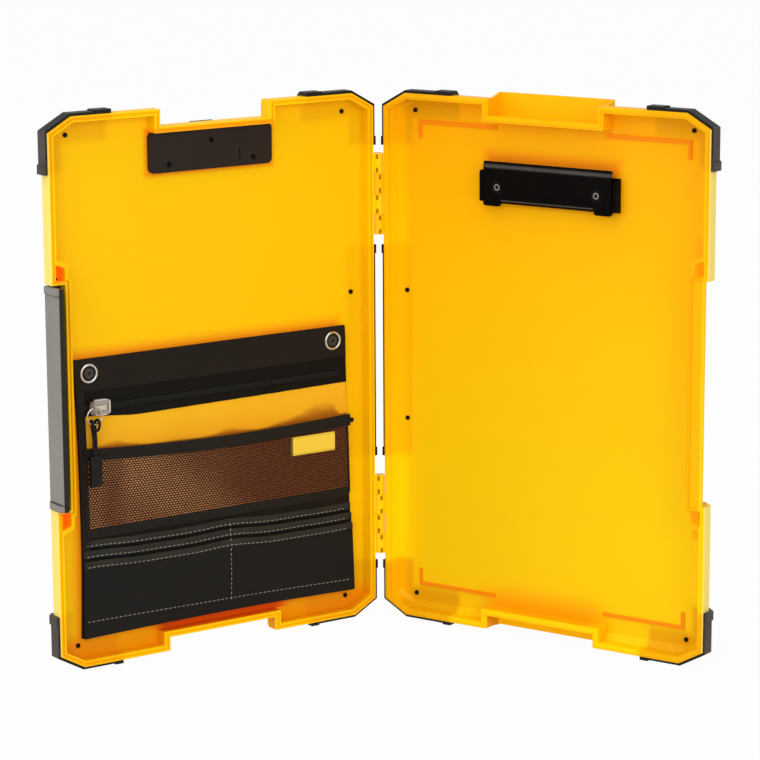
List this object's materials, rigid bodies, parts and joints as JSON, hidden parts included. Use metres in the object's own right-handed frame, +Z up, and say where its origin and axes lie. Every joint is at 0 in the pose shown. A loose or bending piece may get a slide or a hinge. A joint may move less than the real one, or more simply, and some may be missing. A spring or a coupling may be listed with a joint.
{
  "type": "storage clipboard",
  "caption": "Hinged clamshell storage clipboard with rubber corner bumpers, a side latch, spring paper clips and a zipped organiser pouch hung in the lid.",
  "frame": {"origin": "middle of the box round the open case, on the surface that the lower bumpers stand on", "axes": "+Z up along the spine, +X across the base from the spine to its outer edge, +Y out of the back of the base"},
  "size_m": [0.3942, 0.281, 0.401],
  "materials": {
    "case_yellow": "slightly see-through moulded plastic, fine satin",
    "bumper_black": "matte rubber",
    "latch_grey": "satin moulded plastic",
    "pin_steel": "drawn wire",
    "screw_black": "blackened",
    "clip_black": "gloss black over pressed steel",
    "rivet_steel": "tubular rivets",
    "plate_black": "satin",
    "cloth_black": "plain woven polyester",
    "cloth_yellow": "plain woven polyester",
    "mesh_black": "open warp-knit mesh",
    "webbing_black": "folded binding tape",
    "label_yellow": "bare woven label",
    "zip_black": "zip tape",
    "zip_coil": "nylon coil",
    "zip_steel": "cast zip metal",
    "stud_black": "moulded",
    "cord_black": "braided cord",
    "tab_black": "moulded tab"
  },
  "bodies": {
    "base": {"base_shell": "case_yellow", "base_bumper_spine_top": "bumper_black", "base_bumper_spine_bottom": "bumper_black", "base_bumper_outer_top": "bumper_black", "base_bumper_outer_bottom": "bumper_black", "base_spine_strip": "bumper_black", "base_bumper_screws": "screw_black", "hinge_pin_upper": "pin_steel", "hinge_pin_lower": "pin_steel", "paper_clip_plate": "clip_black", "paper_clip_pin": "pin_steel", "paper_clip_spring": "pin_steel", "paper_clip_fixings": "rivet_steel"},
    "lid": {"lid_shell": "case_yellow", "lid_bumper_spine_top": "bumper_black", "lid_bumper_spine_bottom": "bumper_black", "lid_bumper_outer_top": "bumper_black", "lid_bumper_outer_bottom": "bumper_black", "lid_spine_strip": "bumper_black", "lid_bumper_screws": "screw_black", "latch_pin": "pin_steel", "lid_clip_plate": "clip_black", "lid_clip_pin": "pin_steel", "lid_clip_spring": "pin_steel", "clip_backing_plate": "plate_black", "clip_backing_screws": "screw_black", "pouch_back": "cloth_black", "pouch_flap": "cloth_black", "pouch_grommets": "zip_steel", "pouch_studs": "stud_black", "zip_tape": "zip_black", "zip_teeth": "zip_coil", "pouch_band": "cloth_yellow", "mesh_pocket": "mesh_black", "mesh_binding": "webbing_black", "pen_pocket_back": "cloth_black", "pen_pocket_middle": "cloth_black", "pen_pocket_front": "cloth_black", "pouch_label": "label_yellow"},
    "latch": {"latch": "latch_grey"},
    "paper_clip_lever": {"paper_clip_lever": "clip_black", "paper_clip_rivets": "rivet_steel"},
    "lid_clip_lever": {"lid_clip_lever": "clip_black", "lid_clip_rivets": "rivet_steel"},
    "zip_slider": {"zip_slider": "zip_steel"},
    "zip_pull": {"pull_ring": "zip_steel", "pull_cord": "cord_black", "pull_tab": "tab_black"}
  },
  "joints": [
    {"name": "lid_hinge", "type": "hinge", "parent": "base", "child": "lid", "pos_m": [-0.08023, 0.11798, 0.2], "axis": [0, 0, 1], "range_deg": [-68, 112]},
    {"name": "latch_turn", "type": "hinge", "parent": "lid", "child": "latch", "pos_m": [-0.1879, -0.12648, 0.2005], "axis": [0, 0, -1], "range_deg": [0, 90]},
    {"name": "paper_clip_press", "type": "hinge", "parent": "base", "child": "paper_clip_lever", "pos_m": [0.05907, 0.12924, 0.3335], "axis": [-1, 0, 0], "range_deg": [0, 14], "stiffness_Nm_per_rad": 0.4, "springref_deg": -14.32},
    {"name": "lid_clip_press", "type": "hinge", "parent": "lid", "child": "lid_clip_lever", "pos_m": [-0.14748, -0.00508, 0.363], "axis": [0.3746, 0.9272, 0], "range_deg": [0, 14], "stiffness_Nm_per_rad": 0.4, "springref_deg": -14.32},
    {"name": "zip_slide", "type": "slide", "parent": "lid", "child": "zip_slider", "axis": [0.3746, 0.9272, 0], "range_m": [0, 0.185]},
    {"name": "zip_pull_swing", "type": "hinge", "parent": "zip_slider", "child": "zip_pull", "pos_m": [-0.17264, -0.10579, 0.1904], "axis": [0.9272, -0.3746, 0], "range_deg": [-12, 12]}
  ]
}
